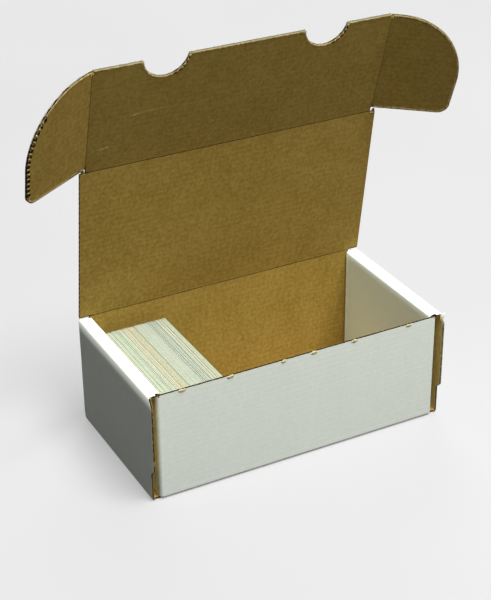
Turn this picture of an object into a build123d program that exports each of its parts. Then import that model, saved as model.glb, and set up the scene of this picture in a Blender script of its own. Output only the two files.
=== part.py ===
"""Storage box for trading cards, die-cut from corrugated board, with rolled ends and a hinged lid.

The frame has +X to the right, +Y to the rear and +Z up. The origin is the centre of the bottom
panel's underside. The box is shown open: the lid leans forward over the rear wall, and the front
flap and its two ears carry on from the lid's free edge.
"""

import os
from math import cos, radians, sin

from build123d import *

os.makedirs("parts", exist_ok=True)

# ---- Driving dimensions, in millimetres and degrees ----

# Corrugated board: a white liner outside, a fluted paper and a brown liner inside. An edge that is
# cut along the flutes opens the last one.
board_thickness = 1.6
liner_thickness = 0.3
flute_pitch = 3.4
flute_paper = 0.25
flute_crest = 0.75
open_edge_depth = 1.6
fold_radius = 2.0
fit_clearance = 0.3

# Standard trading cards, which stand on their long edges across the tray.
card_width = 88.9
card_height = 63.5
card_end_room = 9.2
card_head_room = 6.9

# Tray, set up square.
tray_width = 198.0
front_wall_drop = 1.0
dust_flap_length = 45.0
dust_flap_gap = 0.45
dust_flap_head_gap = 0.5
ear_slot_width = 3.15

# Front edge of each end panel, which stands ahead of the front wall.
end_lead = 2.2
end_step_height = 19.0
end_step_rise = 3.5
end_shoulder_height = 66.0
end_shoulder_rise = 4.0
end_foot_setback = 1.2

# Lock tabs of the rolled ends, in slots of the bottom panel.
lock_tab_width = 24.0
lock_tab_offset = 24.0
lock_tab_recess = 0.2

# Lid, front flap and ears.
lid_overhang_inset = 0.3
flap_floor_gap = 1.7
ear_floor_gap = 0.6
ear_flat = 6.5
ear_length = 48.5
ear_taper = 1.0
ear_corner_radius = 7.0
thumb_notch_width = 28.0
thumb_notch_depth = 12.5
thumb_notch_offset = 51.0

# Creases that swing: a bead on the moving panel, in a band where the flutes are crushed flat.
crease_bead_radius = 0.45
crease_clearance = 0.1
crease_relief = 0.05
crease_band = 2.2

# How far each moving panel stands from its closed place.
lid_lean = 9.0
flap_lean = 8.0
ear_fold = 25.0

# Row of cards, against the left end.
card_row_length = 43.2
card_packs = 24
card_pack_drops = (0.0, 0.5, 0.2, 0.8, 0.1, 0.4, 0.7)
card_floor_gap = 0.1

# ---- Worked-out sizes and places ----

tray_depth = card_width + card_end_room + 2 * board_thickness
tray_height = board_thickness + card_height + card_head_room
half_width = tray_width / 2
half_depth = tray_depth / 2
front_wall_top = tray_height - front_wall_drop
inside_half_depth = half_depth - board_thickness

# Through each end, from the inside out: inner panel, dust flap, ear slot, outer panel.
dust_flap_outer_x = half_width - board_thickness - ear_slot_width
inner_panel_x = dust_flap_outer_x - 2 * board_thickness - dust_flap_gap
wall_half_length = dust_flap_outer_x - fold_radius

hinge_y = half_depth - board_thickness / 2
hinge_z = tray_height + fit_clearance + board_thickness / 2
crease_setback = crease_bead_radius + crease_clearance
lid_half_width = half_width - lid_overhang_inset
closed_flap_y = -(half_depth + end_lead + fit_clearance + board_thickness / 2)
lid_depth = hinge_y - closed_flap_y
flap_height = hinge_z - flap_floor_gap
ear_axis_x = dust_flap_outer_x + ear_slot_width / 2
ear_start = hinge_z - (tray_height - board_thickness - fit_clearance)
ear_end = hinge_z - board_thickness - ear_floor_gap
flap_tilt = lid_lean + flap_lean
reach = 2 * (tray_width + tray_depth)

layers = {
    "liner": (0.0, liner_thickness),
    "board": (liner_thickness, board_thickness),
    "air": (liner_thickness, board_thickness - liner_thickness),
}
nodes = ("liner", "board")


def write(piece, label):
    """Label a finished piece and write it to its own file."""
    piece.part.label = label
    export_step(piece.part, f"parts/{label}.step")


def write_pair(piece, label):
    """Write the right-hand piece and its mirror image on the left."""
    with BuildPart() as twin:
        mirror(piece.part, about=Plane.YZ)
    write(piece, f"right_{label}")
    write(twin, f"left_{label}")


# ---- Sections ----


def box_at(low, high, mode=Mode.ADD):
    """A rectangle of the open sketch, from its low corner to its high corner."""
    with Locations(((low[0] + high[0]) / 2, (low[1] + high[1]) / 2)):
        Rectangle(high[0] - low[0], high[1] - low[1], mode=mode)


def rounded_box_at(low, high, inset, mode):
    """The same with folded corners, drawn in from its outer face by an inset."""
    with Locations(((low[0] + high[0]) / 2, (low[1] + high[1]) / 2)):
        width = high[0] - low[0] - 2 * inset
        height = high[1] - low[1] - 2 * inset
        RectangleRounded(width, height, fold_radius - inset, mode=mode)


def folded_section(low, high, window_low, window_high, layer):
    """One layer of board folded round a box, of which only a window is kept."""
    outer_depth, inner_depth = layers[layer]
    rounded_box_at(low, high, outer_depth, Mode.ADD)
    rounded_box_at(low, high, inner_depth, Mode.SUBTRACT)
    box_at(window_low, window_high, Mode.INTERSECT)


def crease_wedge(apex, direction):
    """Keep what lies within 45 degrees of the panel's own direction from a crease."""
    with Locations(apex):
        Polygon((0, 0), (reach, reach), (reach, -reach), rotation=direction, align=None, mode=Mode.INTERSECT)


def layer_strip(start, end, layer, mode=Mode.ADD):
    """One layer of a flat panel: x along the panel, y through the board from its outer face."""
    outer_depth, inner_depth = layers[layer]
    box_at((start, outer_depth - board_thickness / 2), (end, inner_depth - board_thickness / 2), mode)


def swinging_section(length, layer, far_crease):
    """A panel that swings on a crease at zero, with a second crease at its far end if it has one."""
    end = length - crease_setback if far_crease else length
    layer_strip(0, end, layer)
    crease_wedge((crease_relief, 0), 0)
    if far_crease:
        crease_wedge((length - crease_relief, 0), 180)
    if layer == "board":
        Circle(crease_bead_radius)


def flute_air(start, end, mode):
    """Air on both sides of the fluted paper, between the liners, across a stretch of panel."""
    core = board_thickness / 2 - liner_thickness
    depth = 2 * core - flute_paper
    foot = (flute_pitch - flute_crest) / 2
    head = (flute_crest - flute_paper / 2) / 2
    flutes = int((end - start) / flute_pitch)
    middle = (start + end) / 2
    with Locations((middle - flute_pitch / 4, -core)):
        with GridLocations(flute_pitch, 1, flutes, 1):
            Polygon((-foot, 0), (foot, 0), (head, depth), (-head, depth), align=None, mode=mode)
    with Locations((middle + flute_pitch / 4, core)):
        with GridLocations(flute_pitch, 1, flutes, 1):
            Polygon((-foot, 0), (-head, -depth), (head, -depth), (foot, 0), align=None, mode=mode)


# ---- Tray: bottom, front wall and rear wall, folded from one strip ----

tray_low = (-half_depth, 0)
tray_high = (half_depth, 2 * tray_height)
flat_half_depth = half_depth - fold_radius


def lock_slots():
    """Slots in the bottom panel for the four lock tabs."""
    slot_x = inner_panel_x + board_thickness / 2
    with GridLocations(2 * slot_x, 2 * lock_tab_offset, 2, 2):
        Rectangle(board_thickness + 2 * fit_clearance, lock_tab_width + 2 * fit_clearance)


for layer in nodes:
    with BuildPart() as bottom:
        with BuildSketch(Plane.YZ):
            window_high = (flat_half_depth, fold_radius)
            folded_section(tray_low, tray_high, (-flat_half_depth, 0), window_high, layer)
        extrude(amount=half_width - fold_radius, both=True)
        with BuildSketch(Plane.XY):
            lock_slots()
        extrude(amount=board_thickness, mode=Mode.SUBTRACT)
    write(bottom, f"bottom_{layer}")

    with BuildPart() as front_wall:
        with BuildSketch(Plane.YZ):
            window_high = (-flat_half_depth, front_wall_top)
            folded_section(tray_low, tray_high, (-half_depth, 0), window_high, layer)
        extrude(amount=wall_half_length, both=True)
        if layer == "board":
            with BuildSketch(Plane.YZ):
                window_low = (-half_depth, front_wall_top - open_edge_depth)
                folded_section(tray_low, tray_high, window_low, window_high, "air")
            extrude(amount=wall_half_length, both=True, mode=Mode.SUBTRACT)
    write(front_wall, f"front_wall_{layer}")

    with BuildPart() as rear_wall:
        with BuildSketch(Plane.YZ):
            window_high = (half_depth, hinge_z - crease_setback)
            folded_section(tray_low, tray_high, (flat_half_depth, 0), window_high, layer)
            crease_wedge((hinge_y, hinge_z - crease_relief), -90)
        extrude(amount=wall_half_length, both=True)
    write(rear_wall, f"rear_wall_{layer}")


# ---- Dust flaps: the ends of the front and rear walls, folded in between the end panels ----

dust_flap_foot = board_thickness + fit_clearance
dust_flap_head = tray_height - board_thickness - dust_flap_head_gap
dust_low = (dust_flap_outer_x - tray_depth, -half_depth)
dust_high = (dust_flap_outer_x, half_depth)

for layer in nodes:
    with BuildPart() as front_dust_flap:
        with BuildSketch(Plane.XY.offset(dust_flap_foot)):
            window_high = (dust_flap_outer_x, dust_flap_length - half_depth)
            folded_section(dust_low, dust_high, (wall_half_length, -half_depth), window_high, layer)
        extrude(amount=dust_flap_head - dust_flap_foot)
    write_pair(front_dust_flap, f"front_dust_flap_{layer}")

    with BuildPart() as rear_dust_flap:
        mirror(front_dust_flap.part, about=Plane.XZ)
    write_pair(rear_dust_flap, f"rear_dust_flap_{layer}")


# ---- Rolled ends: outer panel, top strip and inner panel with its lock tabs ----

roll_low = (inner_panel_x, 0)
roll_high = (half_width, tray_height)
panel_half_depth = inside_half_depth - fit_clearance
end_rear_y = half_depth - fit_clearance
end_foot_y = flat_half_depth + end_foot_setback / 2
end_front_y = half_depth + end_lead
shoulder_y = half_depth - fit_clearance


def outer_panel_outline():
    """Side view of the outer panel: a foot, a step forward and a shoulder under the lid."""
    step_top = end_step_height + end_step_rise
    shoulder_top = end_shoulder_height + end_shoulder_rise
    Polygon(
        (-end_foot_y, 0),
        (end_foot_y, 0),
        (end_foot_y, fold_radius),
        (end_rear_y, fold_radius + end_step_rise),
        (end_rear_y, tray_height),
        (-shoulder_y, tray_height),
        (-shoulder_y, shoulder_top),
        (-end_front_y, end_shoulder_height),
        (-end_front_y, step_top),
        (-end_foot_y, end_step_height),
        align=None,
    )


def inner_panel_outline():
    """Side view of the inner panel: a plain panel with two lock tabs below it."""
    box_at((-panel_half_depth, board_thickness), (panel_half_depth, tray_height))
    for y in (-lock_tab_offset, lock_tab_offset):
        box_at((y - lock_tab_width / 2, lock_tab_recess), (y + lock_tab_width / 2, board_thickness))


outer_window_low = (half_width - fold_radius, 0)
strip_window_low = (inner_panel_x + fold_radius, tray_height / 2)
strip_window_high = (half_width - fold_radius, tray_height)

# The open flute round the outer panel, as a solid to take away from its board.
with BuildPart() as outer_panel_air:
    with BuildSketch(Plane.XZ):
        folded_section(roll_low, roll_high, outer_window_low, roll_high, "air")
    extrude(amount=tray_depth, both=True)
    with BuildSketch(Plane.YZ):
        outer_panel_outline()
        offset(amount=-open_edge_depth, kind=Kind.INTERSECTION, mode=Mode.REPLACE)
        box_at((-end_foot_y, 0), (end_foot_y, end_step_height))
        box_at((-shoulder_y + open_edge_depth, tray_height / 2), (end_rear_y - open_edge_depth, tray_height))
    extrude(amount=tray_width, mode=Mode.SUBTRACT)

for layer in nodes:
    with BuildPart() as end_outer:
        with BuildSketch(Plane.XZ):
            folded_section(roll_low, roll_high, outer_window_low, roll_high, layer)
        extrude(amount=tray_depth, both=True)
        with BuildSketch(Plane.YZ):
            outer_panel_outline()
        extrude(amount=tray_width, mode=Mode.INTERSECT)
        if layer == "board":
            add(outer_panel_air.part, mode=Mode.SUBTRACT)
    write_pair(end_outer, f"end_outer_{layer}")

    with BuildPart() as end_top:
        with BuildSketch(Plane.XZ):
            folded_section(roll_low, roll_high, strip_window_low, strip_window_high, layer)
        extrude(amount=end_rear_y, both=True)
        with BuildSketch(Plane.XY):
            notch_x = dust_flap_outer_x + fit_clearance
            box_at((inner_panel_x, panel_half_depth), (notch_x, tray_depth))
            box_at((inner_panel_x, -tray_depth), (notch_x, -panel_half_depth))
        extrude(amount=tray_height, mode=Mode.SUBTRACT)
        if layer == "board":
            with BuildSketch(Plane.XZ.offset(panel_half_depth - open_edge_depth)):
                folded_section(roll_low, roll_high, strip_window_low, strip_window_high, "air")
            extrude(amount=tray_depth, mode=Mode.SUBTRACT)
    write_pair(end_top, f"end_top_{layer}")

    with BuildPart() as end_inner:
        with BuildSketch(Plane.XZ):
            deep_low = (inner_panel_x, -tray_height)
            window_high = (inner_panel_x + fold_radius, tray_height)
            folded_section(deep_low, roll_high, (inner_panel_x, lock_tab_recess), window_high, layer)
        extrude(amount=tray_depth, both=True)
        with BuildSketch(Plane.YZ):
            inner_panel_outline()
        extrude(amount=tray_width, mode=Mode.INTERSECT)
    write_pair(end_inner, f"end_inner_{layer}")


# ---- Lid and front flap ----


def panel_direction(tilt):
    """Direction up a panel that leans forward from upright by a tilt."""
    return Vector(0, -sin(radians(tilt)), cos(radians(tilt)))


def panel_side(origin, tilt):
    """Plane of a panel's section: x up the panel, y through the board towards the inside."""
    return Plane(origin=origin, x_dir=panel_direction(tilt), z_dir=(1, 0, 0))


lid_origin = Vector(0, hinge_y, hinge_z)
flap_origin = lid_origin + panel_direction(lid_lean) * lid_depth
flap_up = panel_direction(flap_tilt)
flap_inward = Vector(1, 0, 0).cross(flap_up)
flap_face = Plane(origin=flap_origin, x_dir=(1, 0, 0), z_dir=flap_inward)
flap_edge_on = Plane(origin=flap_origin, x_dir=(1, 0, 0), z_dir=-flap_up)
notch_radius = (thumb_notch_width**2 / 4 + thumb_notch_depth**2) / (2 * thumb_notch_depth)


def thumb_notches():
    """Two round notches in the flap's free edge."""
    notch_y = flap_height - thumb_notch_depth + notch_radius
    with Locations((-thumb_notch_offset, notch_y), (thumb_notch_offset, notch_y)):
        Circle(notch_radius)


for layer in nodes:
    with BuildPart() as lid:
        with BuildSketch(panel_side(lid_origin, lid_lean)):
            swinging_section(lid_depth, layer, far_crease=True)
            if layer == "board":
                flute_air(crease_band, lid_depth - crease_band, Mode.SUBTRACT)
        extrude(amount=lid_half_width, both=True)
    write(lid, f"lid_{layer}")

    with BuildPart() as flap:
        with BuildSketch(panel_side(flap_origin, flap_tilt)):
            swinging_section(flap_height, layer, far_crease=False)
            if layer == "board":
                flute_air(crease_band, flap_height + flute_pitch / 2, Mode.SUBTRACT)
                layer_strip(flap_height - open_edge_depth, flap_height, "air", Mode.SUBTRACT)
        extrude(amount=half_width, both=True)
        with BuildSketch(flap_edge_on):
            flap_half_width = ear_axis_x - crease_setback
            box_at((-flap_half_width, -board_thickness / 2), (flap_half_width, board_thickness / 2))
            crease_wedge((ear_axis_x - crease_relief, 0), 180)
            crease_wedge((crease_relief - ear_axis_x, 0), 0)
        extrude(amount=reach, both=True, mode=Mode.INTERSECT)
        with BuildSketch(flap_face):
            thumb_notches()
        extrude(amount=board_thickness, both=True, mode=Mode.SUBTRACT)
    write(flap, f"flap_{layer}")


# ---- Ears: they fold in at the sides of the flap and go down the slots in the ends ----

ear_origin = flap_origin + Vector(ear_axis_x, 0, 0)
ear_out = Vector(cos(radians(ear_fold)), 0, 0) + flap_inward * sin(radians(ear_fold))
ear_face = Plane(origin=ear_origin, x_dir=ear_out, z_dir=ear_out.cross(flap_up))
ear_edge_on = Plane(origin=ear_origin, x_dir=ear_out, z_dir=-flap_up)
ear_side = Plane(origin=ear_origin + ear_out * crease_band, x_dir=flap_up, z_dir=ear_out)


def ear_outline():
    """Front view of an ear: square at its crease, with a round leading corner."""
    arc_radius = ear_length - ear_flat
    with BuildLine() as outline:
        crease_side = Line((-board_thickness, ear_start), (-board_thickness, ear_end))
        free_edge = Line(crease_side @ 1, (ear_flat, ear_end))
        lead = RadiusArc(free_edge @ 1, (ear_length, ear_end - arc_radius), arc_radius)
        heel = FilletPolyline(
            lead @ 1,
            (ear_length - ear_taper, ear_start),
            crease_side @ 0,
            radius=ear_corner_radius,
        )
    make_face(outline.edges())


for layer in nodes:
    with BuildPart() as ear:
        with BuildSketch(ear_edge_on):
            swinging_section(ear_length, layer, far_crease=False)
        extrude(amount=reach, both=True)
        with BuildSketch(ear_face):
            ear_outline()
        extrude(amount=board_thickness, both=True, mode=Mode.INTERSECT)
        if layer == "board":
            with BuildSketch(ear_side):
                flute_air(ear_start - flute_pitch, ear_end + flute_pitch, Mode.ADD)
            extrude(amount=ear_length, mode=Mode.SUBTRACT)
    write_pair(ear, f"ear_{layer}")


# ---- Row of cards ----

card_row_start = -inner_panel_x + fit_clearance
card_pack_length = card_row_length / card_packs
card_foot = board_thickness + card_floor_gap

with BuildPart() as card_row:
    with BuildSketch(Plane.XZ.offset(panel_half_depth)):
        for pack in range(card_packs):
            start = card_row_start + pack * card_pack_length
            top = board_thickness + card_height - card_pack_drops[pack % len(card_pack_drops)]
            box_at((start, card_foot), (start + card_pack_length, top))
    extrude(amount=-card_width)
write(card_row, "card_row")
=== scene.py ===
"""Dresses a storage box for trading cards: board, papers, creases, cut edges and the row of cards."""

import logging
import math
import random
from dataclasses import dataclass, field, replace
from enum import Enum
from functools import reduce
from typing import Sequence

import bmesh
import bpy
from mathutils import Euler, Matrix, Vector, noise


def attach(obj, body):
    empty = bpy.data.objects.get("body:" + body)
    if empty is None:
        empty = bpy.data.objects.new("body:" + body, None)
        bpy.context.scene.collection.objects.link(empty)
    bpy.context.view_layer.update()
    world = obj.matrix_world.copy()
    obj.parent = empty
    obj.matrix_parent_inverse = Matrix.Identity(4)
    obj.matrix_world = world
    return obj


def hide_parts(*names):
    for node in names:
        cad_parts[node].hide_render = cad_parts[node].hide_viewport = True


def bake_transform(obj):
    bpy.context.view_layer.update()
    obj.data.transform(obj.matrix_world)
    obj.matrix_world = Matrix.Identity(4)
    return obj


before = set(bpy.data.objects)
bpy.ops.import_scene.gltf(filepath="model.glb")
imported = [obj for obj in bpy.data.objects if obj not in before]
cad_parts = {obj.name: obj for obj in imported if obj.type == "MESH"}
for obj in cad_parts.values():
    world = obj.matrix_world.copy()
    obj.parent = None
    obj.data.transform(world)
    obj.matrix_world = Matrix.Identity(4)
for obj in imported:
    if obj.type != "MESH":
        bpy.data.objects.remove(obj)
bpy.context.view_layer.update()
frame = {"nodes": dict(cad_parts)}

log = logging.getLogger("card_box")

Colour = tuple[float, float, float]
Socket = bpy.types.NodeSocket

MM = 0.001
ACROSS_X = Vector((1, 0, 0))
ACROSS_Y = Vector((0, 1, 0))
ACROSS_Z = Vector((0, 0, 1))


def srgb(red: float, green: float, blue: float) -> Colour:
    """Turn a colour of 0 to 255 a channel into the linear values that a shader takes.

    Args:
        red: Red channel.
        green: Green channel.
        blue: Blue channel.

    Returns:
        The linear colour.
    """
    shares = (channel / 255 for channel in (red, green, blue))
    return tuple(s / 12.92 if s <= 0.04045 else ((s + 0.055) / 1.055) ** 2.4 for s in shares)


# ---- Finishes ----


class Graph:
    """Short calls for building the nodes of one material."""

    def __init__(self, name: str, roughness: float, specular: float) -> None:
        """Open a new material.

        Args:
            name: Name of the material.
            roughness: Roughness on the shader's own socket.
            specular: Specular level on the shader's own socket.
        """
        self.material = bpy.data.materials.new(name)
        self.material.use_nodes = True
        self.tree = self.material.node_tree
        self.shader = self.tree.nodes["Principled BSDF"]
        self.shader.inputs["Roughness"].default_value = roughness
        self.shader.inputs["Specular IOR Level"].default_value = specular
        coordinates = self.node("ShaderNodeTexCoord")
        self.place = coordinates.outputs["Object"]
        self.normal = coordinates.outputs["Normal"]

    def node(self, kind: str, inputs: dict | None = None, **settings: object) -> bpy.types.Node:
        """Add a node.

        Args:
            kind: Blender's name of the node type.
            inputs: Values or sockets for its inputs, by name or number.
            **settings: Properties of the node.

        Returns:
            The new node.
        """
        made = self.tree.nodes.new(kind)
        for name, value in settings.items():
            setattr(made, name, value)
        for name, value in (inputs or {}).items():
            self.feed(made.inputs[name], value)
        return made

    def feed(self, target: Socket, value: object) -> None:
        """Link a socket to an input, or set its value.

        Args:
            target: The input.
            value: A socket, number, vector or colour.
        """
        if isinstance(value, bpy.types.NodeSocket):
            self.tree.links.new(value, target)
        elif target.type == "RGBA" and len(value) == 3:
            target.default_value = (*value, 1.0)
        else:
            target.default_value = value

    def math(self, operation: str, first: object, second: object = 0.0) -> Socket:
        """Work out a number from one or two values or sockets, by the named operation."""
        return self.node("ShaderNodeMath", {0: first, 1: second}, operation=operation).outputs[0]

    def add(self, *parts: object) -> Socket:
        """Add up values or sockets in their order."""
        return reduce(lambda total, part: self.math("ADD", total, part), parts)

    def times(self, value: object, factor: object) -> Socket:
        """Multiply two values or sockets."""
        return self.math("MULTIPLY", value, factor)

    def dot(self, vector: Socket, direction: Vector) -> Socket:
        """Length of a vector along a direction."""
        made = self.node("ShaderNodeVectorMath", {0: vector, 1: direction}, operation="DOT_PRODUCT")
        return made.outputs["Value"]

    def noise(self, scale: float, detail: float, stretch: Sequence[float] = (1, 1, 1)) -> Socket:
        """Smooth noise over the object.

        Args:
            scale: Waves in a metre.
            detail: Octaves.
            stretch: Share of the scale along each axis.

        Returns:
            The noise factor's socket, about 0.3 to 0.7.
        """
        placed = self.node("ShaderNodeVectorMath", {0: self.place, 1: stretch}, operation="MULTIPLY")
        made = self.node(
            "ShaderNodeTexNoise",
            {"Vector": placed.outputs[0], "Scale": scale, "Detail": detail, "Roughness": 0.6},
        )
        return made.outputs["Fac"]

    def span(
        self, value: Socket, low: float, high: float, to_low: float = 0.0, to_high: float = 1.0
    ) -> Socket:
        """Map the range from low to high smoothly onto the one from to_low to to_high."""
        inputs = {"Value": value, "From Min": low, "From Max": high, "To Min": to_low, "To Max": to_high}
        return self.node("ShaderNodeMapRange", inputs, interpolation_type="SMOOTHSTEP").outputs["Result"]

    def mix(self, factor: object, first: object, second: object) -> Socket:
        """Blend two colours.

        Args:
            factor: Share of the second.
            first: Colour or socket.
            second: Colour or socket.

        Returns:
            The colour's socket.
        """
        made = self.node("ShaderNodeMix", data_type="RGBA")
        # The node's sockets for colours go by number, since its other kinds share their names.
        for number, value in ((0, factor), (6, first), (7, second)):
            self.feed(made.inputs[number], value)
        return made.outputs[2]

    def finish(self, colour: Socket, height: Socket, depth: float) -> bpy.types.Material:
        """Connect colour and relief to the shader.

        Args:
            colour: Colour of the surface.
            height: Height from 0 to 1.
            depth: Depth of the relief in metres.

        Returns:
            The finished material.
        """
        bump = self.node("ShaderNodeBump", {"Height": height, "Strength": 1.0, "Distance": depth})
        self.tree.links.new(bump.outputs["Normal"], self.shader.inputs["Normal"])
        self.tree.links.new(colour, self.shader.inputs["Base Color"])
        return self.material


@dataclass(frozen=True)
class Band:
    """A band of a panel between two parallel planes where a darker colour is painted: painted shade along a
    crease, and over the fluted paper its own darker colour with painted shade in its hollows.
    """

    across: Vector
    middle: float
    half: float
    blur: float = 0.04
    strength: float = 0.95

    def mask(self, graph: Graph) -> Socket:
        """Share of the painted darker colour at a place.

        Args:
            graph: Graph of the material.

        Returns:
            Socket of the share, 0 outside the band and its strength inside it.
        """
        place = graph.dot(graph.place, self.across)
        gap = graph.math("ABSOLUTE", graph.math("SUBTRACT", place, self.middle))
        return graph.span(gap, self.half * (1 - self.blur), self.half * (1 + self.blur), self.strength, 0.0)


@dataclass(frozen=True)
class Roll:
    """Painted highlight where the paper turns over the head of a rolled end: a glow that stands in for the
    light from above that the round turn catches.
    """

    start: float = 63.0 * MM
    end: float = 72.5 * MM
    strength: float = 0.5

    def glow(self, graph: Graph, base: float) -> Socket:
        """Painted highlight glow over the turning paper, from the paper's painted glow up to the roll's
        strength.
        """
        return graph.span(graph.dot(graph.place, ACROSS_Z), self.start, self.end, base, self.strength)


@dataclass(frozen=True)
class PaperFinish:
    """Paper of the board: mottled fibre over faint washboard lines from the flutes below."""

    name: str
    pale: Colour
    deep: Colour
    cut: Colour
    # Colour painted in a shaded band: painted shade along creases and in the flutes' hollows.
    dark: Colour
    speck: Colour
    speck_level: float
    fibre: float
    washboard: float
    relief: float
    roughness: float
    specular: float
    # Strength of a painted glow: light painted into the paper for light bounced onto it.
    glow: float = 0.0
    mottle_scale: float = 55.0
    cloud_scale: float = 9.0
    blot_scale: float = 430.0
    strand_scale: float = 700.0
    grain_scale: float = 900.0
    speck_scale: float = 1000.0
    strand_stretch: float = 0.15
    mottle_share: float = 0.25
    blot_level: float = 0.14
    blot_share: float = 0.7
    speck_fade: float = 0.08
    speck_share: float = 0.5
    tone_range: tuple[float, float] = (0.28, 0.72)
    cut_range: tuple[float, float] = (0.3, 0.5)
    torn_range: tuple[float, float] = (0.35, 0.65)
    torn_share: float = 0.35
    flute_wobble: float = 1.5
    relief_share: float = 0.3
    relief_washboard: float = 6.0

    def material(
        self,
        name: str,
        across: Vector,
        cuts: Sequence[Vector] = (),
        shaded: Band | None = None,
        roll: Roll | None = None,
    ) -> bpy.types.Material:
        """Make the paper for one panel.

        Args:
            name: Name of the panel.
            across: Direction across the flutes.
            cuts: Directions that the panel's cut edges face.
            shaded: Band painted dark: painted shade, over the fluted paper together with its own darker
                colour.
            roll: Painted highlight where the paper turns over a rolled end.

        Returns:
            The finished material.
        """
        graph = Graph(f"{self.name}_{name}", self.roughness, self.specular)
        # Painted light: the paper glows by its painted glow and by the painted highlight on a rolled head.
        if self.glow or roll:
            graph.feed(graph.shader.inputs["Emission Color"], self.pale)
            glow = roll.glow(graph, self.glow) if roll else self.glow
            graph.feed(graph.shader.inputs["Emission Strength"], glow)
        mottle = graph.noise(self.mottle_scale, 4)
        cloud = graph.noise(self.cloud_scale, 2)
        grain = graph.noise(self.grain_scale, 3)
        stretch = [self.strand_stretch + (1 - self.strand_stretch) * (1 - abs(part)) for part in across]
        strands = graph.noise(self.strand_scale, 2, stretch)
        turn = graph.times(graph.dot(graph.place, across), 2 * math.pi / (SIZES.flute_pitch * MM))
        wave = graph.math("SINE", graph.add(turn, graph.times(mottle, self.flute_wobble)))
        blots = graph.math("SUBTRACT", graph.noise(self.blot_scale, 4), self.blot_level)
        tone = graph.add(
            graph.times(mottle, self.mottle_share),
            graph.times(cloud, self.mottle_share),
            graph.times(blots, self.blot_share),
            graph.times(graph.math("SUBTRACT", grain, 0.5), self.fibre),
            graph.times(graph.math("SUBTRACT", strands, 0.5), self.fibre),
            graph.times(wave, self.washboard),
        )
        colour = graph.mix(graph.span(tone, *self.tone_range), self.deep, self.pale)
        speck_range = (self.speck_level, self.speck_level + self.speck_fade)
        specks = graph.span(graph.noise(self.speck_scale, 0), *speck_range, 0.0, self.speck_share)
        colour = graph.mix(specks, colour, self.speck)
        facing = [graph.math("POWER", graph.dot(graph.normal, cut), 2.0) for cut in cuts]
        if facing:
            torn = graph.mix(graph.span(grain, *self.torn_range, 0.0, self.torn_share), self.cut, self.pale)
            colour = graph.mix(graph.span(graph.add(*facing), *self.cut_range), colour, torn)
        # Painted shade in the band; over a board's fluted middle it also gives the fluted paper's own darker
        # colour.
        if shaded:
            colour = graph.mix(shaded.mask(graph), colour, self.dark)
        height = graph.add(
            graph.times(grain, self.relief_share),
            graph.times(strands, self.relief_share),
            graph.times(wave, self.washboard * self.relief_washboard),
        )
        return graph.finish(colour, height, self.relief)


@dataclass(frozen=True)
class CardFinish:
    """Coated card: pale stripes where the cards' edges show, from a tint stored on each card."""

    name: str = "card_stock"
    roughness: float = 0.45
    specular: float = 0.35
    worn: Colour = srgb(160, 168, 146)
    dull: Colour = srgb(104, 116, 104)
    wear_scale: float = 120.0
    wear_shares: tuple[float, float] = (0.3, 0.5)
    grain_scale: float = 1500.0
    dull_share: float = 0.3
    noise_range: tuple[float, float] = (0.3, 0.7)
    relief: float = 0.02 * MM

    def material(self) -> bpy.types.Material:
        """Make the card stock.

        Returns:
            The finished material.
        """
        graph = Graph(self.name, self.roughness, self.specular)
        tint = graph.node("ShaderNodeVertexColor", layer_name="tint").outputs["Color"]
        grain = graph.noise(self.grain_scale, 2)
        wear = graph.span(graph.noise(self.wear_scale, 3), *self.noise_range, *self.wear_shares)
        colour = graph.mix(wear, tint, self.worn)
        colour = graph.mix(graph.span(grain, *self.noise_range, 0.0, self.dull_share), colour, self.dull)
        return graph.finish(colour, grain, self.relief)


@dataclass(frozen=True)
class FloorFinish:
    """Plain pale floor with a very faint unevenness, which glows so that its shadows stay light."""

    name: str = "floor"
    colour: Colour = srgb(124, 124, 124)
    shade: Colour = srgb(120, 120, 120)
    roughness: float = 0.9
    specular: float = 0.05
    cloud_scale: float = 2.0
    relief: float = 0.1 * MM
    even_from: float = 0.5
    even_to: float = 3.0
    near_glow: float = 0.42
    far_glow: float = 0.83

    def material(self) -> bpy.types.Material:
        """Make the floor's finish, which stays pale in shadow and far off where the lights grow weak.

        Returns:
            The finished material.
        """
        graph = Graph(self.name, self.roughness, self.specular)
        away = graph.node("ShaderNodeVectorMath", {0: graph.place}, operation="LENGTH").outputs["Value"]
        graph.feed(graph.shader.inputs["Emission Color"], (1.0, 1.0, 1.0))
        even = graph.span(away, self.even_from, self.even_to, self.near_glow, self.far_glow)
        graph.feed(graph.shader.inputs["Emission Strength"], even)
        cloud = graph.noise(self.cloud_scale, 2)
        colour = graph.mix(graph.span(cloud, 0.3, 0.7), self.shade, self.colour)
        return graph.finish(colour, cloud, self.relief)


WHITE = PaperFinish(
    name="white",
    pale=srgb(234, 239, 228),
    deep=srgb(225, 232, 219),
    cut=srgb(118, 104, 76),
    dark=srgb(196, 196, 182),
    speck=srgb(206, 206, 190),
    speck_level=0.78,
    fibre=0.1,
    washboard=0.03,
    relief=0.03 * MM,
    roughness=0.55,
    specular=0.3,
)
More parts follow.
